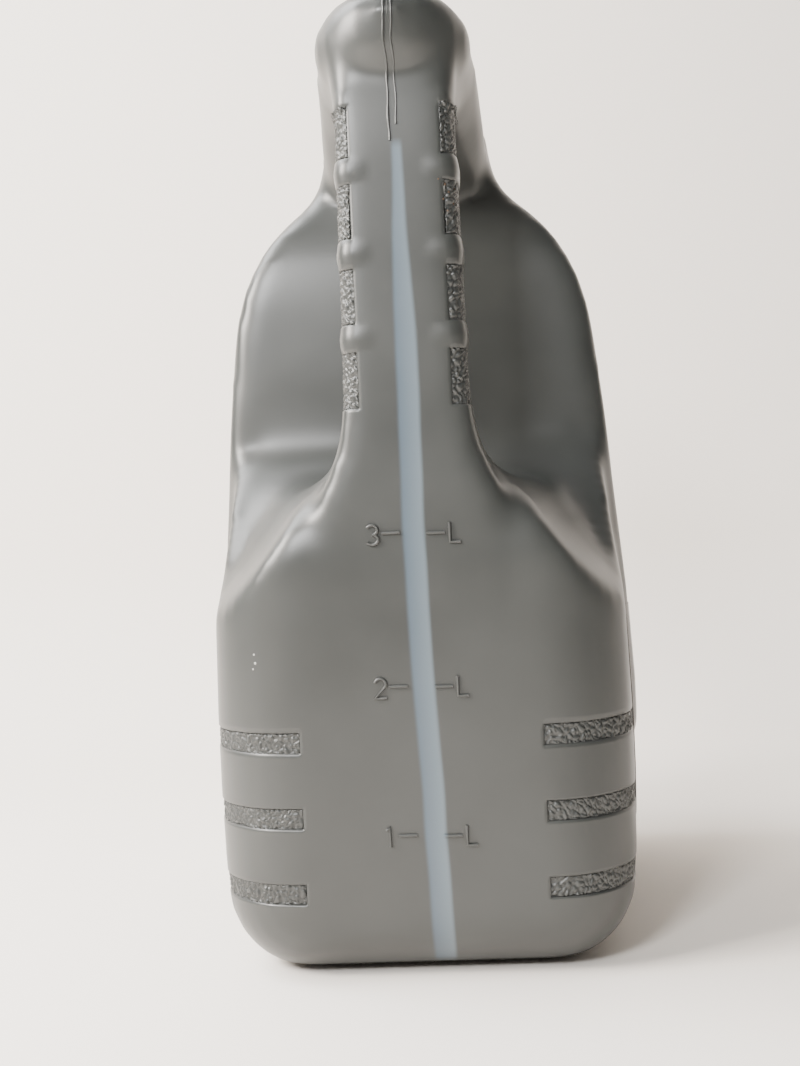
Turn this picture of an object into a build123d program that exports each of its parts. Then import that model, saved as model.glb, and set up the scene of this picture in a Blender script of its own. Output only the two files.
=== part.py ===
from build123d import *
import os
from math import cos, radians, sin

# A 4 litre motor oil jug, blow moulded in one piece with its hollow handle, and the screw cap, sealing wad
# and tamper ring on its neck. Millimetres, +Z up. The origin is the middle of the underside. The handle and
# the narrow face with the litre scale look along -Y, and the two broad faces look along -X and +X.

# Overall sizes
NEAR_Y = -92.0          # narrow face under the handle
FAR_Y = 95.0            # narrow face behind
BODY_TOP = 170.0        # where the straight body ends and the shoulder begins
SHOULDER_TOP = 278.0    # flat ring that the neck stands on
HALF_WIDTH = 62.6       # half the thickness at the narrow faces
CROWNS = (3.2, 7.6, 6.2, 2.6)   # bulge of each broad face at the foot and at each third of the straight body
CORNER_R = 24.0         # vertical corners
FOOT_R = 13.0           # rounding between the walls and the underside
WALL = 1.2              # wall of the whole moulding
PUSH_UP = 2.5           # the middle of the underside stands clear of the table by this much
PUSH_UP_MARGIN = 20.0    # ring that it stands on, from the walls inwards
PUSH_UP_SLOPE = 12.0     # width of the slope from the ring up to the middle
FOOT_DRAW = 1.2          # the foot is narrower than the body by this much on each side

# Shoulder at each step: share of its rise, how far it has drawn in from the half width, its crown, and how
# far its near and far edges stand back from those of the body
SHOULDER_STEPS = (
    (0.18, 1.2, 2.4, 4.0, 4.0), (0.34, 3.2, 2.3, 12.0, 11.0), (0.49, 7.4, 2.2, 26.0, 20.0),
    (0.62, 15.0, 1.9, 44.0, 29.0), (0.74, 25.8, 1.5, 65.0, 37.5), (0.86, 32.4, 1.2, 80.0, 43.0),
    (1.0, 34.6, 1.0, 86.0, 45.0),
)

# Front: two sloping cheeks that narrow the body to the width of the handle
HANDLE_HALF = 19.0
CHEEK_LOW = (HALF_WIDTH + 4.4, BODY_TOP - 72.4)      # half width and height where the slope begins
CHEEK_HIGH = (HANDLE_HALF + 7.5, BODY_TOP - 18.0)    # where the slope turns up into the handle
CHEEK_BEND = (HANDLE_HALF + 2.4, BODY_TOP - 9.5)
CHEEK_TOP = (HANDLE_HALF, BODY_TOP)
CHEEK_RISE = 26.0            # degrees by which the cheeks climb towards the shoulder
SHOULDER_WALL_Y = -22.0      # upright wall of the shoulder, behind the finger gap
WALL_EDGE_R = 16.0           # rounding of the shoulder wall's upright edges

# Handle and the head that joins it to the shoulder
HANDLE_BACK_Y = NEAR_Y + 31.0
HANDLE_CORNER_R = 12.5
HANDLE_LOW_Z = BODY_TOP - 50.0
HEAD_UNDER_Z = SHOULDER_TOP - 14.0
HEAD_TOP_Z = SHOULDER_TOP + 21.0
HEAD_HALF = HANDLE_HALF + 5.0
NOSE_PROUD = 3.0                 # the head stands out in front of the near face by this much
GAP_FLOOR_Z = BODY_TOP - 4.0     # floor of the finger gap

# Recessed bands with a leather grain: three round each front corner, four on each side of the handle
BAND_DEPTH = 1.1
BAND_HEIGHT = 7.0
BAND_PITCH = 22.8
BAND_FIRST_Z = 24.2
BAND_INNER_X = 36.0
BAND_BACK_Y = NEAR_Y + 32.0
GRIP_PANELS = 4
GRIP_RIB = 7.5               # smooth rib between two panels
GRIP_LOW_Z = GAP_FLOOR_Z + 6.0
GRIP_HIGH_Z = HEAD_UNDER_Z - 1.5
GRIP_FRONT_Y = NEAR_Y + 8.0
GRIP_BACK_Y = NEAR_Y + 26.0

# Neck, cap, wad and ring
NECK_Y = 22.0
NECK_R = 20.5
BORE_R = NECK_R - 2.5
NECK_TOP = SHOULDER_TOP + 25.0
COLLAR_R = NECK_R + 4.1         # step at the root of the neck, which the torn-off ring rests on
BEAD_R = NECK_R + 2.3           # bead that keeps the ring on the neck
BEAD_HEIGHT = 1.6
BEAD_BELOW_CAP = 2.6    # from the cap's lower edge down to the top of the bead
THREAD_PITCH = 4.0
THREAD_TURNS = 1.5
THREAD_DEPTH = 1.5
CAP_GAP = 0.4           # clearance between the cap's thread and the neck
CAP_WALL = 2.0
CAP_TOP_WALL = 1.8
CAP_FOOT_Z = SHOULDER_TOP + 9.6
THREAD_FIRST_Z = CAP_FOOT_Z + 3.4
CAP_RIBS = 60
CAP_RIB_DEPTH = 0.7
WAD_THICKNESS = 1.2
RING_GAP = 0.5          # slit between the cap and the ring that has torn from it
RING_HEIGHT = 5.0
HOOK_GAP = 0.2          # slack between the ring's inward hook and the bead above it

# Labels on the broad faces
LABEL_THICKNESS = 0.25
LABEL_GLUE = 0.02            # glue between the film and the jug
LABEL_FRONT_Y = NEAR_Y + 34.0
LABEL_BACK_Y = FAR_Y - 17.0
LABEL_LOW_Z = 40.0
LABEL_HIGH_Z = BODY_TOP - 64.0
LABEL_CORNER_R = 7.0


def plan(z, half, crown, near, far, corner):
    """A rounded oblong at height z whose two long sides bulge by crown."""
    middle = (near + far) / 2
    outline = Wire([
        Edge.make_line((-half, near), (half, near)),
        Edge.make_three_point_arc((half, near), (half + crown, middle), (half, far)),
        Edge.make_line((half, far), (-half, far)),
        Edge.make_three_point_arc((-half, far), (-half - crown, middle), (-half, near)),
    ])
    face = Face(outline)
    return face.fillet_2d(corner, face.vertices()).moved(Location((0, 0, z))).outer_wire()


def body_rows(inset):
    """Outlines of the straight body, evenly spaced above the rounded foot."""
    return [plan(BODY_TOP * k / 3, HALF_WIDTH - inset, CROWNS[k], NEAR_Y + inset, FAR_Y - inset,
                 CORNER_R - inset) for k in (1, 2, 3)]


def block_form(inset):
    """The straight lower body, drawn inwards by inset."""
    half = HALF_WIDTH - FOOT_DRAW - inset
    foot = plan(inset, half, CROWNS[0], NEAR_Y + inset, FAR_Y - inset, CORNER_R - inset)
    block = Solid.make_loft([foot, *body_rows(inset)])
    return block.fillet(FOOT_R - inset, block.edges().group_by(Axis.Z)[0])


def shoulder_form(inset):
    """The shoulder, which draws the straight body in to the ring under the neck."""
    rise = SHOULDER_TOP - BODY_TOP
    tops = [plan(BODY_TOP + rise * share - (inset if share == 1.0 else 0), HALF_WIDTH - drawn - inset, crown,
                 NEAR_Y + near + inset, FAR_Y - far - inset, CORNER_R - inset)
            for share, drawn, crown, near, far in SHOULDER_STEPS]
    return Solid.make_loft([body_rows(inset)[-1], *tops])


def facing_front(y, z=0.0):
    """The upright plane across the jug at y, with its own up along +Z."""
    return Plane(origin=(0, y, z), x_dir=(1, 0, 0), z_dir=(0, -1, 0))


def cheek_prism(inset):
    """What the sloping cheeks leave of the front: their outline carried back and up to the shoulder wall."""
    margin = 40.0
    below = -100.0
    above = CHEEK_TOP[1] + margin
    beyond = CHEEK_LOW[0] + margin
    run = (CHEEK_HIGH[1] - CHEEK_LOW[1]) / (CHEEK_LOW[0] - CHEEK_HIGH[0])
    low_end = (beyond, CHEEK_LOW[1] - run * margin)
    edges = []
    for side in (1, -1):
        points = [(side * x, z) for x, z in (low_end, CHEEK_HIGH, CHEEK_BEND, CHEEK_TOP)]
        end, high, bend, top = points
        foot = (side * beyond, below)
        edges += [Edge.make_line((0, below), foot), Edge.make_line(foot, end),
                  Edge.make_line(end, high), Edge.make_three_point_arc(high, bend, top),
                  Edge.make_line(top, (top[0], above)), Edge.make_line((top[0], above), (0, above))]
    outline = Face(Wire.combine(edges)[0])
    if inset:
        outline = offset(outline, -inset, kind=Kind.INTERSECTION).faces()[0]
    rise = radians(CHEEK_RISE)
    start = facing_front(NEAR_Y) * outline
    depth = SHOULDER_WALL_Y + 2 * WALL_EDGE_R - NEAR_Y
    return extrude(start, depth / cos(rise), dir=Vector(0, cos(rise), sin(rise)))


def oblong(z, half, front, back, corner):
    """A rounded rectangle at height z from front to back."""
    spot = Plane.XY.offset(z) * Pos(0, (front + back) / 2)
    return (spot * RectangleRounded(2 * half, back - front, corner)).face().outer_wire()


def handle_form(inset, half):
    """The upright hollow grip, which flares into the body below it and into the head above it."""
    d = inset
    # Height, and how far the grip has spread there to each side and backwards
    rows = ((HANDLE_LOW_Z, 4, 8), (GAP_FLOOR_Z - 12, 2.4, 5), (GAP_FLOOR_Z - 3, 0.9, 1.8),
            (GAP_FLOOR_Z + 6, 0, 0), (HEAD_UNDER_Z - 12, 0, 0), (HEAD_UNDER_Z - 5, 0.9, 1.8),
            (HEAD_UNDER_Z, 2.2, 5), (HEAD_UNDER_Z + 6, 4.5, 9))
    wires = [oblong(z, half + wide - d, NEAR_Y + 1 + d, HANDLE_BACK_Y + deep - d, HANDLE_CORNER_R - d)
             for z, wide, deep in rows]
    return Solid.make_loft(wires, ruled=True)


def head_form(inset):
    """The domed head and the bridge that carries it back to the shoulder, as slices from front to back."""
    d = inset
    # Distance back from the nose, and how far the slice differs there in half width, underside and top
    nose = ((0, -9.0, 8.0, -8.0), (3, -3.7, 3.5, -3.5), (9, -1.0, 0.8, -0.8), (21, 0, 0, 0))
    bridge = ((21, 0, 0, 0), (39, 1.2, 0, -2.0), (57, 2.4, 0, -9.0), (75, 3.0, -3.0, -17.0),
              (93, 3.0, -7.0, -23.0))
    lofts = []
    for rows in (nose, bridge):
        wires = []
        for back, wider, lower, higher in rows:
            low = HEAD_UNDER_Z + lower
            high = HEAD_TOP_Z + higher
            tall = high - low - 2 * d
            spot = facing_front(NEAR_Y - NOSE_PROUD + back + (0 if back else d), (low + high) / 2)
            outline = spot * RectangleRounded(2 * (HEAD_HALF + wider - d), tall, tall / 2 - 1)
            wires.append(outline.face().outer_wire())
        lofts.append(Solid.make_loft(wires))
    return lofts[0] + lofts[1]


def shoulder_core(inset):
    """A round-edged upright core, a hair wider than the shoulder, that gives its front wall soft edges."""
    d = inset
    front = SHOULDER_WALL_Y + d
    widths = [HALF_WIDTH + crown + 0.4 for crown in CROWNS[1:]]
    low = Solid.make_loft([oblong(BODY_TOP * (k + 1) / 3, wide - d, front, FAR_Y, WALL_EDGE_R - d)
                           for k, wide in enumerate(widths)])
    rise = SHOULDER_TOP - BODY_TOP
    rows = [(share, HALF_WIDTH - drawn + crown + 0.6) for share, drawn, crown, _, _ in SHOULDER_STEPS]
    high = Solid.make_loft([oblong(BODY_TOP + rise * share, half - d, front, FAR_Y, WALL_EDGE_R - d)
                            for share, half in [(0, widths[-1]), *rows]])
    return low + high


def bottle_form(inset, handle_half):
    """The whole jug below its neck."""
    d = inset
    reach = SHOULDER_WALL_Y + WALL_EDGE_R
    aligned = (Align.CENTER, Align.MAX, Align.MIN)
    core = shoulder_core(d)
    front = Pos(0, reach, 60) * Box(300, 300, 400, align=aligned) - cheek_prism(d) - core
    over = Pos(0, reach, GAP_FLOOR_Z - d) * Box(300, 300, 400, align=aligned) - core
    return block_form(d) + shoulder_form(d) - front - over + handle_form(d, handle_half) + head_form(d)


def band_shell(depth):
    """Everything outside the straight body once it is drawn in by depth, within the six corner bands."""
    reach = 40
    zones = []
    for k in range(3):
        for side in (1, -1):
            x = side * (BAND_INNER_X + reach / 2)
            y = (NEAR_Y - 5 + BAND_BACK_Y) / 2
            z = BAND_FIRST_Z + k * BAND_PITCH + BAND_HEIGHT / 2
            zones.append(Pos(x, y, z) * Box(reach, BAND_BACK_Y - NEAR_Y + 5, BAND_HEIGHT))
    return Compound(children=zones) - block_form(depth)


def grip_recesses():
    """The eight shallow pockets in the sides of the handle."""
    pockets = []
    pitch = (GRIP_HIGH_Z - GRIP_LOW_Z + GRIP_RIB) / GRIP_PANELS
    tall = pitch - GRIP_RIB
    reach = 10
    for k in range(GRIP_PANELS):
        for side in (1, -1):
            x = side * (HANDLE_HALF - BAND_DEPTH + reach / 2)
            spot = Pos(x, (GRIP_FRONT_Y + GRIP_BACK_Y) / 2, GRIP_LOW_Z + k * pitch + tall / 2)
            pockets.append(spot * Box(reach, GRIP_BACK_Y - GRIP_FRONT_Y, tall))
    return Compound(children=pockets)


def push_up(grow):
    """The shallow hollow under the body, so that it stands on a ring."""
    margin = PUSH_UP_MARGIN
    half = HALF_WIDTH - margin + grow
    low = oblong(-1, half, NEAR_Y + margin - grow, FAR_Y - margin + grow, CORNER_R - 8)
    inner = margin + PUSH_UP_SLOPE - grow
    high = oblong(PUSH_UP + grow, HALF_WIDTH - inner, NEAR_Y + inner, FAR_Y - inner, CORNER_R - PUSH_UP_SLOPE)
    return Solid.make_loft([low, high])


def disc(radius, low, high):
    """A plain cylinder on the neck's axis."""
    return Pos(0, NECK_Y, low) * Cylinder(radius, high - low, align=(Align.CENTER, Align.CENTER, Align.MIN))


def thread(radius, inwards):
    """A trapezoid thread wound on radius, its roots sunk into the wall that carries it."""
    root = THREAD_PITCH * 0.42
    crest = THREAD_PITCH * 0.2
    sink = 0.3
    path = Helix(THREAD_PITCH, THREAD_PITCH * THREAD_TURNS, radius)
    out = -1 if inwards else 1
    start = Plane(origin=path @ 0, x_dir=(out, 0, 0), z_dir=path % 0)
    corners = ((-sink, -root / 2), (THREAD_DEPTH, -crest / 2), (THREAD_DEPTH, crest / 2), (-sink, root / 2))
    section = start * make_face(Polyline(*corners, close=True))
    return Pos(0, NECK_Y, 0) * sweep(section, path=path, is_frenet=True)


cap_bore = NECK_R + THREAD_DEPTH + CAP_GAP
cap_r = cap_bore + CAP_WALL
cap_inside_top = NECK_TOP + WAD_THICKNESS
ring_top = CAP_FOOT_Z - RING_GAP
ring_foot = ring_top - RING_HEIGHT
bead_top = CAP_FOOT_Z - BEAD_BELOW_CAP
bead_foot = bead_top - BEAD_HEIGHT


def bottle():
    """The blow-moulded jug with its neck."""
    skin = bottle_form(0, HANDLE_HALF) - grip_recesses() - band_shell(BAND_DEPTH) - push_up(0)
    skin += disc(COLLAR_R, SHOULDER_TOP - 4, ring_foot) + disc(NECK_R, SHOULDER_TOP - 4, NECK_TOP)
    skin += disc(BEAD_R, bead_foot, bead_top)
    skin += Pos(0, 0, THREAD_FIRST_Z) * thread(NECK_R, False)
    inside = bottle_form(WALL, HANDLE_HALF - BAND_DEPTH) - band_shell(BAND_DEPTH + WALL) - push_up(WALL)
    return skin - inside - disc(BORE_R, SHOULDER_TOP - 8, NECK_TOP + 1)


def cap():
    """The ribbed screw cap."""
    ribs = PolarLocations(cap_r, CAP_RIBS) * Rectangle(2 * CAP_RIB_DEPTH, 1.3)
    outline = Plane.XY.offset(CAP_FOOT_Z) * (Circle(cap_r) + ribs)
    shell = Pos(0, NECK_Y, 0) * extrude(outline, cap_inside_top + CAP_TOP_WALL - 2 - CAP_FOOT_Z)
    shell += disc(cap_r, CAP_FOOT_Z, cap_inside_top + CAP_TOP_WALL)
    top = shell.edges().group_by(Axis.Z)[-1]
    shell = fillet(top, 1.2) - disc(cap_bore, CAP_FOOT_Z - 1, cap_inside_top)
    return shell + Pos(0, 0, THREAD_FIRST_Z + THREAD_PITCH / 2) * thread(cap_bore, True)


def cap_liner():
    """The loose sealing wad that the cap presses on the lip."""
    return disc(cap_bore - 0.4, NECK_TOP, cap_inside_top)


def tamper_ring():
    """The band torn from the cap, hooked under the neck's bead."""
    outside = disc(cap_r, ring_foot, ring_top)
    hook_top = bead_foot - HOOK_GAP
    return outside - disc(BEAD_R + 0.3, hook_top, ring_top) - disc(NECK_R + 0.4, ring_foot, hook_top)


def label(side, film):
    """A film on one broad face, an oblong with round corners."""
    middle = ((LABEL_FRONT_Y + LABEL_BACK_Y) / 2, (LABEL_LOW_Z + LABEL_HIGH_Z) / 2)
    broad_face = Plane(origin=(0, 0, 0), x_dir=(0, 1, 0), z_dir=(1, 0, 0))
    outline = RectangleRounded(LABEL_BACK_Y - LABEL_FRONT_Y, LABEL_HIGH_Z - LABEL_LOW_Z, LABEL_CORNER_R)
    return film & extrude(broad_face * Pos(*middle) * outline, 2 * HALF_WIDTH * side)


film = block_form(-LABEL_GLUE - LABEL_THICKNESS) - block_form(-LABEL_GLUE)
pieces = {
    "bottle": bottle(),
    "cap": cap(),
    "cap_liner": cap_liner(),
    "tamper_ring": tamper_ring(),
    "front_label": label(1, film),
    "rear_label": label(-1, film),
}
os.makedirs("parts", exist_ok=True)
for name, shape in pieces.items():
    export_step(shape, f"parts/{name}.step")
    print(name, round(shape.volume / 1000, 2), "cm3")
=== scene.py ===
# %% [markdown]
# # A four litre motor oil jug
# A jug like this is blow moulded: a hot tube of polyethylene is caught between two mould halves and blown
# against them. So it is one soft-edged skin, with a hollow handle, a seam where the halves met,
# leather-grained patches for grip and raised litre marks beside a clear stripe. The imported model is loaded
# first, because the outside sizes and the places of the parts come from it. Lengths below are in millimetres
# and MM turns them to metres.

# %% Load the frame
import bpy
import bmesh
import math
import numpy as np
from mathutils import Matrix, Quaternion, Vector, noise


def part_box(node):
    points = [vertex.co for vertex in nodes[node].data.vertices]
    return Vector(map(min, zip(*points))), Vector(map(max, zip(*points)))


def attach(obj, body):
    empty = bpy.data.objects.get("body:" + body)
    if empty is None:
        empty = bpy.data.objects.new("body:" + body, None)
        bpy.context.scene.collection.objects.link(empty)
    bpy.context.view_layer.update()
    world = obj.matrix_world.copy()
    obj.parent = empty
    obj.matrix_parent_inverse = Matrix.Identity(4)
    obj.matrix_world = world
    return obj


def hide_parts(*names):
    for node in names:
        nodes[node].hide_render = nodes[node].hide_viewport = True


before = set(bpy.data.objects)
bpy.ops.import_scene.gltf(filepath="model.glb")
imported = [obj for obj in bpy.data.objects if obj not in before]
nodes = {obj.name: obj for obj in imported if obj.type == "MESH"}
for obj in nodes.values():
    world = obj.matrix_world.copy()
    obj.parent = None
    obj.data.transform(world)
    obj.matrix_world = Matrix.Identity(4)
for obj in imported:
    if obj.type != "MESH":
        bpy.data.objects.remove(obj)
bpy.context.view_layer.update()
MM = 0.001

# %% [markdown]
# ## Driving sizes
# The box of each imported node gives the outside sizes. The rest are the jug's own: where its cheeks start to
# slope, how wide the grip is, and how the shoulder draws in to the neck.

# %% Driving sizes
jug_low, jug_high = (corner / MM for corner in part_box("bottle"))
cap_low, cap_high = (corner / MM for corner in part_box("cap"))
NEAR_Y = jug_low.y + 3.0
FAR_Y = jug_high.y
NECK_Y = (cap_low.y + cap_high.y) / 2
NECK_TOP = jug_high.z
SIDE = 62.0
CHEEK_LOW, CHEEK_HIGH = (63.2, 103.0), (27.0, 151.5)
LEDGE_Z = 151.5
GRIP_HALF = 19.3
GRIP_BACK = -61.0
HEAD_CENTRE = (0.0, -71.5, 283.6)
HEAD_RADII = (25.0, 23.8, 16.4)
NOSE_CENTRE = (0.0, -76.0, 288.6)
NOSE_RADII = (21.5, 20.6, 10.6)
BAND_DEPTH = 1.1
BANDS = [(24.2 + 22.8 * k, 31.2 + 22.8 * k) for k in range(3)]
GRIPS = [(172.0, 189.5), (197.0, 214.5), (222.5, 239.5), (246.5, 262.5)]
print("neck axis at y", round(NECK_Y, 2), "lip at z", round(NECK_TOP, 2))

# %% [markdown]
# ## Modelling helpers
# Every piece starts as a primitive that is shaped in edit mode. These helpers do what a hand does again and
# again: add a block, choose edges or faces by where they are, bevel them, slice a corner off, or pull the top
# face up in steps.

# %% Modelling helpers
def active_only(piece):
    if bpy.context.mode != "OBJECT":
        bpy.ops.object.mode_set(mode="OBJECT")
    bpy.ops.object.select_all(action="DESELECT")
    piece.select_set(True)
    bpy.context.view_layer.objects.active = piece


def block(name, low, high):
    bpy.ops.object.select_all(action="DESELECT")
    centre = (Vector(low) + Vector(high)) / 2 * MM
    bpy.ops.mesh.primitive_cube_add(size=1, location=centre)
    piece = bpy.context.object
    piece.name = name
    piece.scale = (Vector(high) - Vector(low)) * MM
    bpy.ops.object.transform_apply(location=True, rotation=True, scale=True)
    return piece


def pick(piece, kind, test):
    """Selects the vertices, edges or faces whose corner points, in millimetres, pass the test."""
    active_only(piece)
    bpy.ops.object.mode_set(mode="EDIT")
    bpy.ops.mesh.select_mode(type=kind)
    bpy.ops.mesh.select_all(action="DESELECT")
    mesh = bmesh.from_edit_mesh(piece.data)
    group = {"VERT": mesh.verts, "EDGE": mesh.edges, "FACE": mesh.faces}[kind]
    for part in group:
        corners = [part.co / MM] if kind == "VERT" else [v.co / MM for v in part.verts]
        part.select = bool(test(corners))
    mesh.select_flush(True)
    bmesh.update_edit_mesh(piece.data)


def bevel(piece, test, radius, segments):
    pick(piece, "EDGE", test)
    bpy.ops.mesh.bevel(offset=radius * MM, segments=segments, affect="EDGES", clamp_overlap=True)
    bpy.ops.object.mode_set(mode="OBJECT")


def slice_off(piece, point, normal):
    """Cuts away what lies beyond the plane and closes the cut."""
    active_only(piece)
    bpy.ops.object.mode_set(mode="EDIT")
    bpy.ops.mesh.select_all(action="SELECT")
    bpy.ops.mesh.bisect(plane_co=Vector(point) * MM, plane_no=Vector(normal).normalized(), use_fill=True,
                        clear_outer=True)
    bpy.ops.object.mode_set(mode="OBJECT")


def pull_face(piece, axis, rows):
    """Extrudes the face that is furthest along an axis, once for each row of its new bounds."""
    across = [k for k in range(3) if k != axis]
    for row in rows:
        pick(piece, "FACE", lambda corners: False)
        mesh = bmesh.from_edit_mesh(piece.data)
        end = max(mesh.faces, key=lambda face: face.calc_center_median()[axis])
        end.select = True
        low = [min(v.co[k] for v in end.verts) / MM for k in range(3)]
        high = [max(v.co[k] for v in end.verts) / MM for k in range(3)]
        bmesh.update_edit_mesh(piece.data)
        move, grow = Vector(), Vector((1, 1, 1))
        move[axis] = row[0] - high[axis]
        for k, (start, stop) in zip(across, row[1:]):
            move[k] = (start + stop) / 2 - (low[k] + high[k]) / 2
            grow[k] = (stop - start) / (high[k] - low[k])
        bpy.ops.mesh.extrude_region_move(TRANSFORM_OT_translate={"value": move * MM})
        bpy.ops.transform.resize(value=grow)
        bpy.ops.object.mode_set(mode="OBJECT")


def finish_with(piece, kind, **settings):
    """Adds a modifier, sets it and applies it."""
    active_only(piece)
    bpy.ops.object.modifier_add(type=kind)
    modifier = piece.modifiers[-1]
    for key, value in settings.items():
        setattr(modifier, key, value)
    bpy.ops.object.modifier_apply(modifier=modifier.name)


def join(first, *others):
    active_only(first)
    for other in others:
        other.select_set(True)
    bpy.ops.object.join()
    return first


def upright(corners):
    return abs(corners[0].z - corners[1].z) > 4


def level_at(height):
    return lambda corners: all(abs(corner.z - height) < 0.01 for corner in corners)

# %% [markdown]
# ## The body
# The lower body is a tall box with round upright corners and a round foot. Two planes cut its front down to
# the width of the handle, which makes the sloping cheeks. They tilt back as well, so that the cheeks climb
# towards the shoulder.

# %% The body block
CHEEK_RISE = math.radians(20)
CORNER_R, FOOT_R = 24.0, 12.5
body = block("jug", (-SIDE, NEAR_Y, 0), (SIDE, FAR_Y, LEDGE_Z))
bevel(body, upright, CORNER_R, 8)
bevel(body, level_at(0), FOOT_R, 5)
for side in (1, -1):
    start = Vector((side * CHEEK_LOW[0], NEAR_Y, CHEEK_LOW[1]))
    along = Vector((side * CHEEK_HIGH[0], NEAR_Y, CHEEK_HIGH[1])) - start
    normal = along.cross(Vector((0, math.cos(CHEEK_RISE), math.sin(CHEEK_RISE))))
    slice_off(body, start, normal if normal.z > 0 else -normal)

# A wedge in the corner between this roof and the shoulder wall carries the one up into the other.
RAMP_FOOT, RAMP_TOP = (-66.0, 112.0), (-20.0, 166.0)
RAMP_HALF, RAMP_LOW_Z = 61.0, 80.0
ramp = block("ramp", (-RAMP_HALF, RAMP_FOOT[0], RAMP_LOW_Z), (RAMP_HALF, 0, RAMP_TOP[1]))
slice_off(ramp, (0, *RAMP_FOOT), (0, RAMP_FOOT[1] - RAMP_TOP[1], RAMP_TOP[0] - RAMP_FOOT[0]))
print("body block", len(body.data.vertices), "points")

# %% [markdown]
# ## The shoulder
# Behind the finger gap the jug rises as a round-edged tower. Its top face is pulled up and resized step by
# step until it is the small ring that carries the neck.

# %% The shoulder
# The height, half width, near edge and far edge of each step.
SHOULDER = [
    (170, 65.0, -22, 95), (189, 64.2, -22, 91), (204, 62.5, -21.5, 85), (217, 59.8, -21, 78),
    (228, 55.4, -20, 72), (237, 49.8, -18, 66), (244, 44.0, -15.5, 61), (250, 37.2, -12, 57),
    (257, 31.9, -9, 53.5), (267, 29.6, -7, 51), (279, 28.4, -6, 50),
]
SHOULDER_FOOT_Z, SHOULDER_CORNER_R = 60.0, 17.0
z, half, front, back = SHOULDER[0]
shoulder = block("shoulder", (-half, front, SHOULDER_FOOT_Z), (half, back, z))
pull_face(shoulder, 2, [(z, (-half, half), (front, back)) for z, half, front, back in SHOULDER[1:]])
bevel(shoulder, upright, SHOULDER_CORNER_R, 6)
print("shoulder", len(shoulder.data.vertices), "points")

# %% [markdown]
# ## The handle and its head
# The grip is a rounded column that spreads where it meets the body and the head. The head is a sphere
# squeezed to a dome, and a bridge runs back from it to the shoulder.

# %% The handle, head and bridge
GRIP_CORNER_R = 13.0
GRIP_ROWS = [
    (112, 30.0, -91.8, -50), (145, 28.0, -91.8, -52), (152, 25.2, -91.6, -54), (159, 22.0, -91.5, -56),
    (166, 20.2, -91.4, -59), (173, GRIP_HALF, -91.2, GRIP_BACK),
    (250, GRIP_HALF - 0.8, -91.0, GRIP_BACK), (262, GRIP_HALF - 1.0, -90.4, -58), (270, 18.8, -89.4, -54),
    (277, 20.0, -88.0, -50),
]
z, half, front, back = GRIP_ROWS[0]
grip = block("grip", (-half, front, z - 4), (half, back, z))
pull_face(grip, 2, [(z, (-half, half), (front, back)) for z, half, front, back in GRIP_ROWS[1:]])
bevel(grip, upright, GRIP_CORNER_R, 6)


def dome(centre, radii):
    bpy.ops.object.select_all(action="DESELECT")
    bpy.ops.mesh.primitive_uv_sphere_add(segments=48, ring_count=24, radius=1, location=Vector(centre) * MM)
    piece = bpy.context.object
    piece.scale = Vector(radii) * MM
    bpy.ops.object.transform_apply(location=True, rotation=True, scale=True)
    return piece


head = dome(HEAD_CENTRE, HEAD_RADII)
nose = dome(NOSE_CENTRE, NOSE_RADII)

BRIDGE_CENTRE = Vector((0, -72, 283))
BRIDGE_START, BRIDGE_HALF, BRIDGE_RISE = 4.0, 24.4, 16.8
BRIDGE_ROWS = [
    (-56, 25.6, 264, 299.0), (-38, 27.2, 259, 294.5), (-22, 28.6, 250, 288.0), (-2, 29.4, 238, 281),
]
bpy.ops.object.select_all(action="DESELECT")
bpy.ops.mesh.primitive_cylinder_add(vertices=40, radius=1, depth=BRIDGE_START * MM,
                                    rotation=(math.pi / 2, 0, 0), location=BRIDGE_CENTRE * MM)
bridge = bpy.context.object
bpy.ops.object.transform_apply(location=False, rotation=True, scale=False)
bridge.scale = (BRIDGE_HALF * MM, 1, BRIDGE_RISE * MM)
bpy.ops.object.transform_apply(location=True, rotation=True, scale=True)
pull_face(bridge, 1, [(y, (-half, half), (low, high)) for y, half, low, high in BRIDGE_ROWS])
print("handle parts", len(grip.data.vertices), len(head.data.vertices), len(bridge.data.vertices))

# %% [markdown]
# ## One blown skin
# Blown plastic never has a sharp inside or outside corner. The blocks are joined, and a voxel remesh turns
# them into one closed skin of even quads. A smooth modifier then rounds every corner by a few millimetres,
# as blowing does, and one level of subdivision takes the last facets out.

# %% One blown skin
VOXEL = 3.2
VALLEY_X, VALLEY_Y, VALLEY_Z = (17, 54), (-80, -6), (128, 180)


def in_valley(corners):
    across = (abs(corners[0].x), corners[0].y, corners[0].z)
    return all(low < at < high for at, (low, high) in zip(across, (VALLEY_X, VALLEY_Y, VALLEY_Z)))


join(body, ramp, shoulder, grip, head, nose, bridge)
finish_with(body, "REMESH", mode="VOXEL", voxel_size=VOXEL * MM, adaptivity=0)
finish_with(body, "SMOOTH", factor=0.5, iterations=5)
# The valley behind the handle is softer than the rest.
pick(body, "VERT", in_valley)
bpy.ops.mesh.vertices_smooth(factor=0.5, repeat=24)
bpy.ops.object.mode_set(mode="OBJECT")
finish_with(body, "SUBSURF", levels=1, render_levels=1)
print("skin", len(body.data.polygons), "quads")

# %% [markdown]
# ## Bulged sides
# The two broad faces swell outwards, most of all at a third of their height. A formula moves each point
# sideways: a parabola from the near edge to the far edge, times a smooth curve up the height.

# %% Bulged sides
def places(piece):
    flat = np.empty(len(piece.data.vertices) * 3, np.float32)
    piece.data.vertices.foreach_get("co", flat)
    return flat.reshape(-1, 3) / MM


def put_back(piece, points):
    piece.data.vertices.foreach_set("co", (points * MM).astype(np.float32).ravel())
    piece.data.update()


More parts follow.
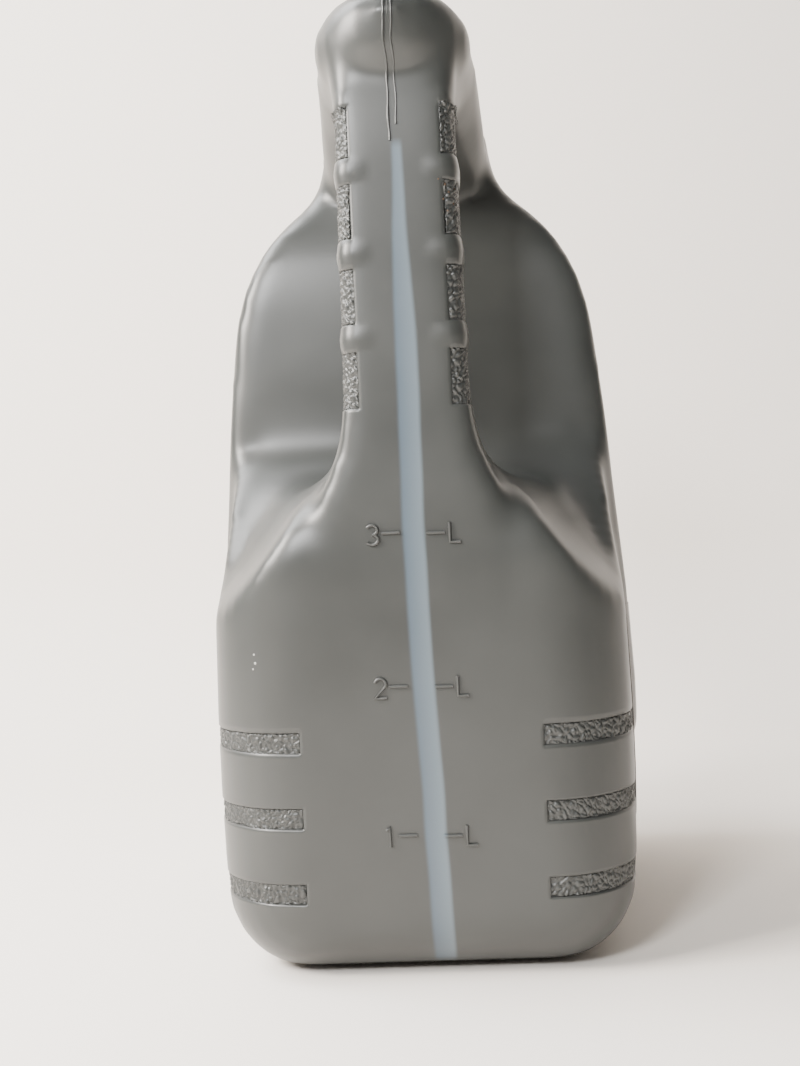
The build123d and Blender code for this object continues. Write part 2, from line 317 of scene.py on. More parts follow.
SWELL_HEIGHTS = (0, 12, 35, 57, 80, 113, 150, 185)
SWELL_REACH = (2.2, 3.6, 6.2, 7.2, 7.2, 5.6, 2.4, 0)


def swell(points):
    along = 1 - ((points[:, 1] - (NEAR_Y + FAR_Y) / 2) / ((FAR_Y - NEAR_Y) / 2)) ** 2
    up = np.interp(points[:, 2], SWELL_HEIGHTS, SWELL_REACH)
    outward = np.clip(np.abs(points[:, 0]) / SIDE, 0, 1) ** 2 * np.sign(points[:, 0])
    return np.clip(along, 0, 1) * up * outward


skin = places(body)
skin[:, 0] += swell(skin)
skin[:, 2] -= skin[:, 2].min()
put_back(body, skin)
print("skin box", skin.min(0).round(1), skin.max(0).round(1))

# %% [markdown]
# ## Grained bands and grip panels
# The mould is etched in shallow panels, which leave leather grain sunk a millimetre below smooth pads.
# Three bands wrap each near corner low down, and four panels run down each side of the handle. They are cut
# into the skin itself: planes divide the faces near a panel, then the faces inside it are inset for a soft
# lip, pushed in, and divided finely for the grain.

# %% Cutting the panels into the skin
PANEL_X, GRIP_X = 36.0, 13.6
PANEL_BACK, GRIP_PANEL_BACK = -60.0, -65.0
LIP, LIP_SINK = 0.45, 0.36
GRIP_DEPTH = 1.0
PANEL_CUTS = 3


def divide(piece, near, point, normal):
    """Adds a line of edges where a plane crosses the faces that are near."""
    pick(piece, "FACE", near)
    bpy.ops.mesh.bisect(plane_co=Vector(point) * MM, plane_no=normal)
    bpy.ops.object.mode_set(mode="OBJECT")


def zone(low, high, least_x, most_y):
    """A test for faces between two heights, beyond a distance from the middle and in front of a plane."""
    def inside(corners):
        centre = sum(corners, Vector()) / len(corners)
        return low < centre.z < high and abs(centre.x) > least_x and centre.y < most_y
    return inside


def sink_panel(piece, low, high, least_x, most_y, depth):
    near = zone(low - 6, high + 6, least_x - 6, most_y + 6)
    for height in (low, high):
        divide(piece, near, (0, 0, height), (0, 0, 1))
    for side in (1, -1):
        divide(piece, near, (side * least_x, 0, 0), (1, 0, 0))
    divide(piece, near, (0, most_y, 0), (0, 1, 0))
    pick(piece, "FACE", zone(low, high, least_x, most_y))
    bpy.ops.mesh.inset(thickness=LIP * MM, depth=-LIP_SINK * MM, use_even_offset=True)
    bpy.ops.mesh.extrude_region_shrink_fatten(
        TRANSFORM_OT_shrink_fatten={"value": -(depth - LIP_SINK) * MM, "use_even_offset": False})
    bpy.ops.mesh.quads_convert_to_tris()
    bpy.ops.mesh.subdivide(number_cuts=PANEL_CUTS)
    bpy.ops.object.vertex_group_assign_new()
    bpy.ops.object.mode_set(mode="OBJECT")


for low, high in BANDS:
    sink_panel(body, low, high, PANEL_X, PANEL_BACK, BAND_DEPTH)
for low, high in GRIPS:
    sink_panel(body, low, high, GRIP_X, GRIP_PANEL_BACK, GRIP_DEPTH)
print("skin with panels", sum(len(face.vertices) - 2 for face in body.data.polygons), "triangles")

# %% [markdown]
# ## Leather grain
# Leather grain is a sheet of small rounded pebbles with creases between. Cell noise gives both: the gap
# between a point's nearest and next nearest cell centre is zero in a crease and large on a pebble. The
# points are stretched first, so the pebbles come out as short worms.

# %% Leather grain
def grain(points, pebble, height):
    heights = np.empty(len(points))
    for k, point in enumerate(points):
        at = Vector(point) / pebble
        at += noise.noise_vector(at * 0.7) * 0.55
        near, far = noise.voronoi(at, distance_metric="DISTANCE")[0][:2]
        heights[k] = height * min(1.0, 2.6 * (far - near)) ** 0.6
    return heights


def raise_grain(piece, pebble, height):
    normals = np.empty(len(piece.data.vertices) * 3, np.float32)
    piece.data.vertices.foreach_get("normal", normals)
    normals = normals.reshape(-1, 3)
    points = places(piece)
    rim = np.zeros(len(points), bool)
    grained = np.zeros(len(points), bool)
    for vertex in piece.data.vertices:
        grained[vertex.index] = len(vertex.groups) > 0
    for edge in piece.data.edges:
        a, b = edge.vertices
        if grained[a] != grained[b]:
            rim[a] = rim[b] = True
    chosen = np.flatnonzero(grained & ~rim)
    points[chosen] += normals[chosen] * grain(points[chosen], pebble, height)[:, None]
    put_back(piece, points)
    return len(chosen)


PEBBLE, PEBBLE_HEIGHT = 1.7, 0.85
print("grained points", raise_grain(body, PEBBLE, PEBBLE_HEIGHT))

# %% [markdown]
# ## Ribs on the grip
# Between the panels the handle keeps smooth ribs. They stand a little proud, which a ring of points pushed
# out along their normals gives, faded above and below by a cosine.

# %% Ribs on the grip
RIB_HEIGHT, RIB_HALF = 0.55, 4.4
RIB_INNER_X, RIB_FADE = 8.0, 6.0


def ribs(points, normals):
    middles = [(low + high) / 2 for (_, low), (high, _) in zip(GRIPS, GRIPS[1:])]
    outward = np.abs(points[:, 0]) - RIB_INNER_X
    on_grip = (points[:, 1] < GRIP_BACK + 4) & (outward > 0)
    push = np.zeros(len(points))
    for middle in middles:
        away = np.clip(np.abs(points[:, 2] - middle) / RIB_HALF, 0, 1)
        push += RIB_HEIGHT * (1 + np.cos(math.pi * away)) / 2
    return points + normals * (push * on_grip * np.clip(outward / RIB_FADE, 0, 1))[:, None]


normals = np.empty(len(body.data.vertices) * 3, np.float32)
body.data.vertices.foreach_get("normal", normals)
put_back(body, ribs(places(body), normals.reshape(-1, 3)))
active_only(body)
bpy.ops.object.shade_smooth()
print("ribs between", len(GRIPS), "panels")

# %% [markdown]
# ## The seam of the mould
# Where the mould halves meet, the skin carries a fine line. Over the head it is a pair of uneven ridges
# with a groove between, because the tube was pinched there. A copy of the skin is cut by a plane, only the
# cut line is kept, and it becomes a thin wavering bead.

# %% The seam of the mould
def seam_line(name, x, keep, radius, waver):
    active_only(body)
    bpy.ops.object.duplicate()
    line = bpy.context.object
    line.name = name
    bpy.ops.object.mode_set(mode="EDIT")
    bpy.ops.mesh.select_all(action="SELECT")
    bpy.ops.mesh.bisect(plane_co=(x * MM, 0, 0), plane_no=(1, 0, 0), clear_inner=True, clear_outer=True)
    bpy.ops.object.mode_set(mode="OBJECT")
    pick(line, "VERT", lambda corners: not keep(corners[0]))
    bpy.ops.mesh.delete(type="VERT")
    bpy.ops.object.mode_set(mode="OBJECT")
    bpy.ops.object.convert(target="CURVE")
    line = bpy.context.object
    line.data.bevel_depth = radius * MM
    line.data.bevel_resolution = 2
    for spline in line.data.splines:
        for point in spline.points:
            at = point.co.xyz / MM
            point.co.x += waver * MM * noise.noise(at * 0.13)
            point.radius = 0.75 + 0.5 * noise.noise(at * 0.31 + Vector((7, 0, 0)))
    bpy.ops.object.convert(target="MESH")
    bpy.ops.object.shade_smooth()
    return bpy.context.object


left_ridge = seam_line("seam_left", -1.3, lambda p: p.y < -70 and p.z > 250.5, 0.5, 0.5)
right_ridge = seam_line("seam_right", 1.0, lambda p: p.y < -70 and p.z > 254.5, 0.42, 0.5)
fine_seam = seam_line("seam_round", 0.0, lambda p: (p.y > -76 or p.z > 286) and p.z > 1.0, 0.16, 0.3)
seam = join(left_ridge, right_ridge, fine_seam)
seam.name = "mould_seam"
print("seam", len(seam.data.polygons), "faces")

# %% [markdown]
# ## Litre marks
# The scale beside the clear stripe is engraved in the mould, so it stands proud on the bottle as thin round
# strokes. Each stroke is a curve drawn in the near face with a round bevel, turned into a mesh and half sunk.

# %% Litre marks
STROKE, STROKE_SUNK = 0.5, 0.32
# Each mark is a height and the middle of the stripe there, and its parts stand at these distances from it.
DIGIT_X, LEFT_DASH_X, RIGHT_DASH_X, LETTER_X = -12.3, -6.9, 6.5, 12.2
MARKS = ((3, 134.6, 0.6), (2, 88.9, 0.9), (1, 44.4, 1.7))


def arc(x, z, radius_x, radius_z, start, stop, steps=12):
    turns = [math.radians(start + (stop - start) * k / steps) for k in range(steps + 1)]
    return [(x + radius_x * math.cos(a), z + radius_z * math.sin(a)) for a in turns]


DIGITS = {
    1: [[(-0.9, 2.0), (0.1, 2.9), (0.1, -2.9)]],
    2: [arc(0, 1.3, 1.65, 1.6, 165, -35) + [(-1.7, -2.9), (1.8, -2.9)]],
    3: [arc(-0.1, 1.45, 1.6, 1.45, 150, -90), arc(-0.1, -1.45, 1.8, 1.45, 90, -150)],
    "L": [[(-1.5, 2.9), (-1.5, -2.9), (1.6, -2.9)]],
    "dash": [[(-2.7, 0), (2.7, 0)]],
}


def near_face(x, z):
    """Where a ray from the front meets the skin, so that marks lie on it wherever they are put."""
    hit, place, *_ = body.ray_cast(Vector((x, NEAR_Y - 40, z)) * MM, Vector((0, 1, 0)))
    return place.y / MM if hit else NEAR_Y


def stroke_mark(curve, shape, x, z):
    for path in DIGITS[shape]:
        spline = curve.splines.new("POLY")
        spline.points.add(len(path) - 1)
        for point, (dx, dz) in zip(spline.points, path):
            at = (x + dx, z + dz)
            point.co = (at[0] * MM, (near_face(*at) - STROKE_SUNK) * MM, at[1] * MM, 1)


strokes = bpy.data.curves.new("litre_marks", "CURVE")
strokes.dimensions = "3D"
strokes.bevel_depth = STROKE * MM
strokes.bevel_resolution = 3
strokes.use_fill_caps = True
for litres, height, middle in MARKS:
    stroke_mark(strokes, litres, middle + DIGIT_X, height)
    stroke_mark(strokes, "dash", middle + LEFT_DASH_X, height + 0.4)
    stroke_mark(strokes, "dash", middle + RIGHT_DASH_X, height - 0.1)
    stroke_mark(strokes, "L", middle + LETTER_X, height - 0.1)
marks = bpy.data.objects.new("litre_marks", strokes)
bpy.context.scene.collection.objects.link(marks)
active_only(marks)
bpy.ops.object.convert(target="MESH")
bpy.ops.object.shade_smooth()
print("marks at", [height for _, height, _ in MARKS], "mm")

# %% [markdown]
# ## The neck
# The neck is formed in the same blow, as a ring of revolution: a collar, a bead that holds the tamper ring,
# the wall with its thread, and the rolled lip. Its half section is spun round the neck axis.

# %% The neck
NECK_R, BORE_R, COLLAR_R, BEAD_R = 20.5, 18.0, 24.6, 22.8
CAP_FOOT = cap_low.z
ring_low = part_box("tamper_ring")[0] / MM
BEAD_TOP = CAP_FOOT - 2.6
NECK_FOOT_Z, FLARE_LOW_Z, FLARE_HIGH_Z = 262, 272, 276
THREAD_PITCH, THREAD_TURNS, THREAD_DEPTH = 4.0, 1.5, 1.5
THREAD_FIRST_Z, THREAD_STEPS, THREAD_BEAD_R = 291.0, 48, 0.8
SECTION = [
    (BORE_R, NECK_FOOT_Z), (BORE_R, NECK_TOP - 0.5), (BORE_R + 0.5, NECK_TOP), (NECK_R - 0.6, NECK_TOP),
    (NECK_R, NECK_TOP - 0.6), (NECK_R, BEAD_TOP + 0.4), (BEAD_R, BEAD_TOP - 0.2), (BEAD_R, BEAD_TOP - 1.6),
    (NECK_R, BEAD_TOP - 1.6), (NECK_R, ring_low.z), (COLLAR_R - 0.5, ring_low.z),
    (COLLAR_R, ring_low.z - 0.5), (COLLAR_R, FLARE_HIGH_Z), (COLLAR_R + 1.5, FLARE_LOW_Z),
    (COLLAR_R, NECK_FOOT_Z),
]
bpy.ops.object.select_all(action="DESELECT")
bpy.ops.mesh.primitive_plane_add(size=0.001)
neck = bpy.context.object
neck.name = "neck"
bpy.ops.object.mode_set(mode="EDIT")
outline = bmesh.from_edit_mesh(neck.data)
bmesh.ops.delete(outline, geom=outline.verts[:], context="VERTS")
corners = [outline.verts.new((radius * MM, NECK_Y * MM, height * MM)) for radius, height in SECTION]
for a, b in zip(corners, corners[1:] + corners[:1]):
    outline.edges.new((a, b))
bmesh.update_edit_mesh(neck.data)
bpy.ops.mesh.select_all(action="SELECT")
bpy.ops.mesh.spin(steps=96, angle=math.tau, center=(0, NECK_Y * MM, 0), axis=(0, 0, 1))
bpy.ops.mesh.select_all(action="SELECT")
bpy.ops.mesh.remove_doubles(threshold=0.00001)
bpy.ops.mesh.normals_make_consistent(inside=False)
bpy.ops.object.mode_set(mode="OBJECT")
bpy.ops.object.shade_smooth_by_angle(angle=math.radians(35))

thread = bpy.data.curves.new("thread", "CURVE")
thread.dimensions = "3D"
thread.bevel_depth = THREAD_BEAD_R * MM
turn = thread.splines.new("POLY")
steps = int(THREAD_TURNS * THREAD_STEPS)
turn.points.add(steps)
for k, point in enumerate(turn.points):
    angle = math.tau * k / THREAD_STEPS
    reach = (NECK_R + THREAD_DEPTH - THREAD_BEAD_R) * min(1, 0.965 + 0.012 * k, 0.965 + 0.012 * (steps - k))
    point.co = (reach * math.cos(angle) * MM, (NECK_Y + reach * math.sin(angle)) * MM,
                (THREAD_FIRST_Z + THREAD_PITCH * k / THREAD_STEPS) * MM, 1)
thread = bpy.data.objects.new("thread", thread)
bpy.context.scene.collection.objects.link(thread)
active_only(thread)
bpy.ops.object.convert(target="MESH")
bpy.ops.object.shade_smooth()
jug = join(body, neck, thread)
print("jug", len(jug.data.polygons), "faces")

# %% [markdown]
# ## Side labels
# Each broad face carries a thin film label, bare here. It follows the bulge of the skin exactly, so it is cut
# from a copy of the skin: planes trim the copy to the label's outline, and Solidify gives the film its
# thickness.

# %% Side labels
LABEL_CORNER, CORNER_CUTS = 7.0, 16
FILM = 0.27


def trim(piece, point, normal):
    """Cuts away what lies beyond the plane and leaves the cut open."""
    active_only(piece)
    bpy.ops.object.mode_set(mode="EDIT")
    bpy.ops.mesh.select_all(action="SELECT")
    bpy.ops.mesh.bisect(plane_co=Vector(point) * MM, plane_no=normal, clear_outer=True)
    bpy.ops.object.mode_set(mode="OBJECT")


def film_label(node, side):
    low, high = (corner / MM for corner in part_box(node))
    active_only(jug)
    bpy.ops.object.duplicate()
    label = bpy.context.object
    label.name = node + "_film"
    trim(label, (side * 50, 0, 0), (-side, 0, 0))
    for step in range(CORNER_CUTS):
        angle = math.tau * step / CORNER_CUTS
        way = Vector((0, math.cos(angle), math.sin(angle)))
        edge_y = high.y - LABEL_CORNER if way.y > 0 else low.y + LABEL_CORNER
        edge_z = high.z - LABEL_CORNER if way.z > 0 else low.z + LABEL_CORNER
        trim(label, Vector((0, edge_y, edge_z)) + way * LABEL_CORNER, way)
    finish_with(label, "SOLIDIFY", thickness=FILM * MM, offset=1)
    label.vertex_groups.clear()
    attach(label, "jug")
    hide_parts(node)
    return label


labels = [film_label("front_label", 1), film_label("rear_label", -1)]
print("labels", [len(label.data.polygons) for label in labels], "faces")

# %% [markdown]
# ## Shop dust
# A jug that has stood on a shelf has a few brown specks on the grip and pale nicks on the near face. Each
# is a flattened bead that lies on the skin, at listed places.

# %% Shop dust
SPECKS = [(14.5, 237.5, 0.42), (15.4, 235.2, 0.5), (13.8, 233.1, 0.36), (16.6, 232.0, 0.45),
          (15.0, 229.6, 0.3), (17.3, 236.4, 0.3), (12.7, 239.0, 0.28)]
NICKS = [(-49.3, 100.2, 0.34), (-49.0, 97.6, 0.42), (-49.8, 95.8, 0.3)]
BEAD_FLATNESS = 0.35


def beads(name, places_on_face):
    made = []
    for x, z, radius in places_on_face:
        bpy.ops.object.select_all(action="DESELECT")
        where = Vector((x, near_face(x, z), z)) * MM
        bpy.ops.mesh.primitive_uv_sphere_add(segments=10, ring_count=6, radius=radius * MM,
                                             location=where)
        bpy.context.object.scale.y = BEAD_FLATNESS
        bpy.ops.object.transform_apply(location=True, rotation=True, scale=True)
        made.append(bpy.context.object)
    piece = join(*made)
    piece.name = name
    return piece


specks = beads("brown_specks", SPECKS)
nicks = beads("pale_nicks", NICKS)
print(len(SPECKS), "specks and", len(NICKS), "nicks")

# %% [markdown]
# ## The leather as its own piece
# The grain needs far more points than the smooth skin. The panels were kept as vertex groups when they were
# cut, so they are selected by their groups now and taken off as one piece, which leaves the jug light.
# Their rims stay where they were, and the two pieces meet along them.

# %% The leather as its own piece
pick(jug, "FACE", lambda corners: False)
for panel in jug.vertex_groups:
    jug.vertex_groups.active_index = panel.index
    bpy.ops.object.vertex_group_select()
bpy.ops.mesh.separate(type="SELECTED")
bpy.ops.object.mode_set(mode="OBJECT")
leather = next(piece for piece in bpy.context.selected_objects if piece is not jug)
leather.name = "leather_grain"
for piece in (jug, leather):
    print(piece.name, sum(len(face.vertices) - 2 for face in piece.data.polygons), "triangles")
for piece in (jug, leather, seam, marks, specks, nicks):
    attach(piece, "jug")
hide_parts("bottle")

# %% [markdown]
# ## Materials: helpers
# Colours are picked as sRGB hex values, and shaders work in linear light, so one function converts them. A
# second adds a node with its settings and links.

# %% Material helpers
def linear(hex_colour):
    values = [int(hex_colour[k:k + 2], 16) / 255 for k in (1, 3, 5)]
    return [v / 12.92 if v <= 0.04045 else ((v + 0.055) / 1.055) ** 2.4 for v in values] + [1.0]


def new_material(name, colour, roughness, ior=1.5, **sockets):
    material = bpy.data.materials.new(name)
    material.use_nodes = True
    shader = material.node_tree.nodes["Principled BSDF"]
    settings = {"Base Color": linear(colour), "Roughness": roughness, "IOR": ior, **sockets}
    for socket, value in settings.items():
        shader.inputs[socket].default_value = value
    return material, shader


def add(material, kind, settings=(), **links):
    """Adds a node, sets its properties, and sets or links its inputs, which are named with _ for a space."""
    node = material.node_tree.nodes.new(kind)
    for key, value in dict(settings).items():
        setattr(node, key, value)
    for name, value in links.items():
        key = int(name[1:]) if name[0] == "i" and name[1:].isdigit() else name.replace("_", " ")
        if isinstance(value, bpy.types.NodeSocket):
            material.node_tree.links.new(value, node.inputs[key])
        else:
            node.inputs[key].default_value = value
    return node


def wear(piece, material):
    piece.data.materials.clear()
    piece.data.materials.append(material)


def per_mm(size):
    """The scale of a pattern that repeats about every so many millimetres, as coordinates are in metres."""
    return 1 / (size * MM)

# %% [markdown]
# ## Grey polyethylene with a clear stripe
# The skin is high density polyethylene filled with a little aluminium pigment, blown against a blasted
# mould, so it has a soft wide shine and a fine orange peel. A stripe of unpigmented plastic runs down the
# near face as a level window. It is the same skin, so it is coloured in by position: the distance from a
# centre line that drifts, softened at both edges. Across the stripe its colour runs from darker on the left
# to lighter on the right, which is painted shade at its left edge and a painted highlight at its right.

# %% Grey polyethylene
STRIPE_HALF, STRIPE_TIP_HALF = 3.3, 1.5
STRIPE_TAPER_Z, STRIPE_TOP_Z = 185.0, 253.0
STRIPE_BACK_Y = -78.0
DRIFT, DRIFT_TOP_Z, WAVER = 3.2, 135.0, 1.4


def grey_polyethylene():
    # Satin HDPE: IOR 1.54, wide soft highlights, colour varying very slightly over the wall.
    material, shader = new_material("satin_grey_hdpe", "#363837", 0.34, 1.54)
    position = add(material, "ShaderNodeTexCoord").outputs["Object"]
    blotch = add(material, "ShaderNodeTexNoise", Vector=position, Scale=per_mm(45), Detail=3.0)
    grey = add(material, "ShaderNodeValToRGB", Fac=blotch.outputs["Fac"])
    grey.color_ramp.elements[0].position = 0.3
    grey.color_ramp.elements[0].color = linear("#333534")
    grey.color_ramp.elements[1].position = 0.7
    grey.color_ramp.elements[1].color = linear("#3B3D3C")
    split = add(material, "ShaderNodeSeparateXYZ", Vector=position)
    x, y, z = split.outputs
    # The centre line drifts right by some millimetres towards the foot, with a slow waver on top.
    drift = add(material, "ShaderNodeMapRange", {"interpolation_type": "SMOOTHSTEP"}, Value=z,
                From_Min=0.0, From_Max=DRIFT_TOP_Z * MM, To_Min=DRIFT * MM, To_Max=0.0)
    waver = add(material, "ShaderNodeTexNoise", {"noise_dimensions": "1D"}, W=z, Scale=per_mm(40), Detail=1.0)
    wavered = add(material, "ShaderNodeMath", {"operation": "MULTIPLY_ADD"}, i0=waver.outputs["Fac"],
                  i1=WAVER * MM, i2=drift.outputs["Result"])
    offset = add(material, "ShaderNodeMath", {"operation": "SUBTRACT"}, i0=x, i1=wavered.outputs[0])
    away = add(material, "ShaderNodeMath", {"operation": "ABSOLUTE"}, i0=offset.outputs[0])
    width = add(material, "ShaderNodeMapRange", {"interpolation_type": "SMOOTHSTEP"}, Value=z,
                From_Min=STRIPE_TAPER_Z * MM, From_Max=STRIPE_TOP_Z * MM,
                To_Min=STRIPE_HALF * MM, To_Max=STRIPE_TIP_HALF * MM)
    inside = add(material, "ShaderNodeMath", {"operation": "SUBTRACT"}, i0=width.outputs["Result"],
                 i1=away.outputs[0])
    band = add(material, "ShaderNodeMapRange", {"interpolation_type": "SMOOTHSTEP"}, Value=inside.outputs[0],
               From_Min=-0.7 * MM, From_Max=1.0 * MM)
    below = add(material, "ShaderNodeMapRange", Value=z,
                From_Min=(STRIPE_TOP_Z - 1) * MM, From_Max=(STRIPE_TOP_Z - 4) * MM)
    in_front = add(material, "ShaderNodeMapRange", Value=y,
                   From_Min=STRIPE_BACK_Y * MM, From_Max=(STRIPE_BACK_Y - 5) * MM)
    stripe = add(material, "ShaderNodeMath", {"operation": "MULTIPLY"}, i0=band.outputs["Result"],
                 i1=below.outputs["Result"])
    stripe = add(material, "ShaderNodeMath", {"operation": "MULTIPLY"}, i0=stripe.outputs[0],
                 i1=in_front.outputs["Result"])
    # The stripe's own bluish colour, ramped across its width from darker on the left to lighter on the right:
    # painted shade at its left edge and a painted highlight at its right.
    across = add(material, "ShaderNodeMapRange", Value=offset.outputs[0],
                 From_Min=-STRIPE_HALF * MM, From_Max=STRIPE_HALF * MM)
    stripe_tint_painted_shade_and_highlight = add(material, "ShaderNodeValToRGB", Fac=across.outputs["Result"])
    stripe_tint_painted_shade_and_highlight.color_ramp.elements[0].color = linear("#475460")
    stripe_tint_painted_shade_and_highlight.color_ramp.elements[1].color = linear("#606C74")
    colour = add(material, "ShaderNodeMix", {"data_type": "RGBA"}, i0=stripe.outputs[0],
                 i6=grey.outputs["Color"], i7=stripe_tint_painted_shade_and_highlight.outputs["Color"])
    # Orange peel of about 2.5 mm, with a finer matt grain from the blasted mould.
    peel = add(material, "ShaderNodeTexNoise", Vector=position, Scale=per_mm(2.6), Detail=2.0)
    blast = add(material, "ShaderNodeTexNoise", Vector=position, Scale=per_mm(0.7), Detail=1.0)
    rough = add(material, "ShaderNodeMapRange", Value=blotch.outputs["Fac"], From_Min=0.3, From_Max=0.7,
                To_Min=0.32, To_Max=0.39)
    surface = add(material, "ShaderNodeMath", {"operation": "MULTIPLY_ADD"}, i0=blast.outputs["Fac"], i1=0.3,
                  i2=peel.outputs["Fac"])
    bump = add(material, "ShaderNodeBump", Height=surface.outputs[0], Strength=0.22, Distance=0.06 * MM)
    for socket, source in (("Base Color", colour.outputs[2]), ("Roughness", rough.outputs["Result"]),
                           ("Normal", bump.outputs["Normal"])):
        material.node_tree.links.new(source, shader.inputs[socket])
    return material


hdpe = grey_polyethylene()
for piece in (jug, leather, seam, marks):
    wear(piece, hdpe)
print("material", hdpe.name)

# %% [markdown]
# ## Cap, liner, labels and dust
# The cap and its torn-off ring are black polypropylene, moulded with a fine spark-eroded texture. The liner
# is foamed polyethylene, and the label film is smooth and dark. Each needs only a colour that varies a
# little and a fine bump.

# %% Cap, liner, labels and dust
def plain_finish(name, dark, light, patch, roughness, bump_size, bump_height, ior=1.5, **sockets):
    """A moulded finish: two close colours in soft patches, and a fine bump."""
    material, shader = new_material(name, light, roughness, ior, **sockets)
    position = add(material, "ShaderNodeTexCoord").outputs["Object"]
    patches = add(material, "ShaderNodeTexNoise", Vector=position, Scale=per_mm(patch), Detail=2.0)
    shade = add(material, "ShaderNodeValToRGB", Fac=patches.outputs["Fac"])
    for element, colour in zip(shade.color_ramp.elements, (dark, light)):
        element.color = linear(colour)
    texture = add(material, "ShaderNodeTexNoise", Vector=position, Scale=per_mm(bump_size), Detail=2.0)
    bump = add(material, "ShaderNodeBump", Height=texture.outputs["Fac"], Strength=0.4,
               Distance=bump_height * MM)
    material.node_tree.links.new(shade.outputs["Color"], shader.inputs["Base Color"])
    material.node_tree.links.new(bump.outputs["Normal"], shader.inputs["Normal"])
    return material


# Polypropylene: IOR 1.49, satin from spark erosion, whose 0.1 mm pits are drawn at 0.6 mm to show.
polypropylene = plain_finish("moulded_black_polypropylene", "#17181A", "#202124", 12, 0.42, 0.6, 0.03, 1.49)
# Foamed polyethylene: matt white with open cells of half a millimetre.
foam = plain_finish("foamed_polyethylene", "#D9D7D0", "#ECEAE4", 5, 0.8, 0.5, 0.08, 1.5)
# Polypropylene film, varnished: smooth and fairly glossy, with a slight ripple from the skin below.
film = plain_finish("varnished_label_film", "#241D19", "#2E2722", 30, 0.24, 18, 0.05, 1.49)
# Dried oily dust: matt brown.
dust = plain_finish("dried_dust", "#3F3024", "#5A4636", 2, 0.75, 0.4, 0.05, 1.45)
# Bruised polyethylene goes pale where it is nicked.
bruise = plain_finish("bruised_polyethylene", "#A9A9A5", "#BCBCB8", 2, 0.5, 0.5, 0.05, 1.54)
for node, material in (("cap", polypropylene), ("tamper_ring", polypropylene), ("cap_liner", foam)):
    wear(nodes[node], material)
for piece, material in ((labels[0], film), (labels[1], film), (specks, dust), (nicks, bruise)):
    wear(piece, material)
print("materials", [material.name for material in bpy.data.materials][-6:])

# %% [markdown]
# ## Backdrop
# The jug stands on a pale cloth in front of a pale wall. One sheet does for both: a plane whose far edge is
# extruded up, with the fold bevelled to a wide sweep so that no line shows between them.

# %% Backdrop
bpy.ops.object.select_all(action="DESELECT")
bpy.ops.mesh.primitive_plane_add(size=1)
backdrop = bpy.context.object
backdrop.name = "backdrop"
WALL_BEHIND, SWEEP_R, HALF_ROOM = 0.42, 0.12, 1.6
FLOOR_IN_FRONT, WALL_HEIGHT = 1.9, 1.8
pick(backdrop, "VERT", lambda corners: True)
bpy.ops.transform.resize(value=(2 * HALF_ROOM, FLOOR_IN_FRONT + WALL_BEHIND, 1))
bpy.ops.transform.translate(value=(0, (WALL_BEHIND - FLOOR_IN_FRONT) / 2, 0))
pick(backdrop, "EDGE", lambda corners: min(corner.y for corner in corners) > 0)
bpy.ops.mesh.extrude_region_move(TRANSFORM_OT_translate={"value": (0, 0, WALL_HEIGHT)})
bpy.ops.object.mode_set(mode="OBJECT")
bevel(backdrop, lambda corners: all(c.y > 0 and c.z < 1 for c in corners), SWEEP_R / MM, 12)
bpy.ops.object.shade_smooth()
wall_paint, wall_shader = new_material("pale_cloth_and_wall", "#F8F2EB", 0.9)
# The sheet is clear from behind, so that the wall doesn't hide the jug's far side.
behind = add(wall_paint, "ShaderNodeNewGeometry").outputs["Backfacing"]
clear = add(wall_paint, "ShaderNodeBsdfTransparent").outputs["BSDF"]
one_sided = add(wall_paint, "ShaderNodeMixShader", Fac=behind, i1=wall_shader.outputs["BSDF"], i2=clear)
wall_paint.node_tree.links.new(one_sided.outputs["Shader"],
                               wall_paint.node_tree.nodes["Material Output"].inputs["Surface"])
wear(backdrop, wall_paint)
print("backdrop", len(backdrop.data.polygons), "faces")

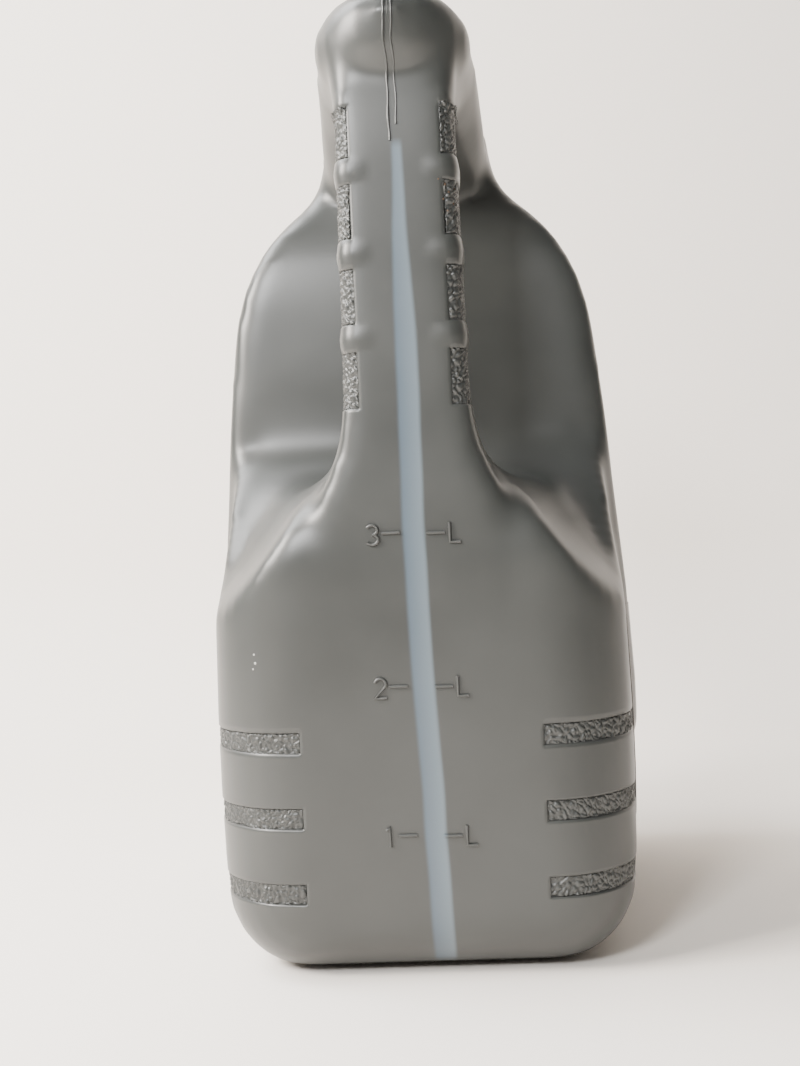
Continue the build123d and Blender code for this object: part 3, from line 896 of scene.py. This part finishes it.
# %% [markdown]
# ## Lights
# Area lights give soft edged shine. A small bright one stands at the upper left, close to the jug, so that
# the left of the handle and the head catch it. A smaller one high in front gives the glint on the head, and
# a wide one washes the wall. A weak even world fills the shadows.

# %% Lights
def soft_light(name, place, size, power, aim=(0, 0, 0.15), colour="#FFFFFF"):
    lamp = bpy.data.lights.new(name, "AREA")
    lamp.size = size
    lamp.energy = power
    lamp.color = linear(colour)[:3]
    holder = bpy.data.objects.new(name, lamp)
    bpy.context.scene.collection.objects.link(holder)
    holder.location = place
    holder.rotation_euler = (Vector(aim) - Vector(place)).to_track_quat("-Z", "Y").to_euler()


soft_light("key_left", (-0.58, -0.36, 0.52), 0.3, 16, aim=(0, -0.02, 0.22), colour="#FFF8F0")
soft_light("front_glint", (-0.3, -0.85, 0.62), 0.2, 9, aim=(0, -0.09, 0.28))
soft_light("wall_wash", (-0.8, 0.05, 1.25), 0.8, 34, aim=(-0.1, 0.42, 0.25))
room = bpy.data.worlds.new("room")
bpy.context.scene.world = room
room.use_nodes = True
room.node_tree.nodes["Background"].inputs["Color"].default_value = linear("#F0ECE6")
room.node_tree.nodes["Background"].inputs["Strength"].default_value = 0.22
print("lights", [light.name for light in bpy.data.lights])

# %% [markdown]
# ## Camera
# The camera looks straight at the handle side from a little under half the height. It is turned, tipped and
# rolled by a few degrees, as a hand-held one is: the roll is about its own line of sight, so it comes first.

# %% Camera
CAMERA_AT = Vector((0.019, -0.507, 0.141))
TURN, TILT, ROLL = math.radians(3.1), math.radians(-0.85), math.radians(2.67)
lens = bpy.data.cameras.new("camera")
lens.sensor_fit = "VERTICAL"
lens.sensor_height = 36
lens.lens = 47.3
camera = bpy.data.objects.new("camera", lens)
bpy.context.scene.collection.objects.link(camera)
camera.location = CAMERA_AT
level = Quaternion((0, 0, 1), TURN) @ Quaternion((1, 0, 0), math.pi / 2 + TILT)
camera.rotation_euler = (level @ Quaternion((0, 0, 1), -ROLL)).to_euler()
bpy.context.scene.camera = camera
print("camera to near face", round(NEAR_Y * MM - CAMERA_AT.y, 3), "m")
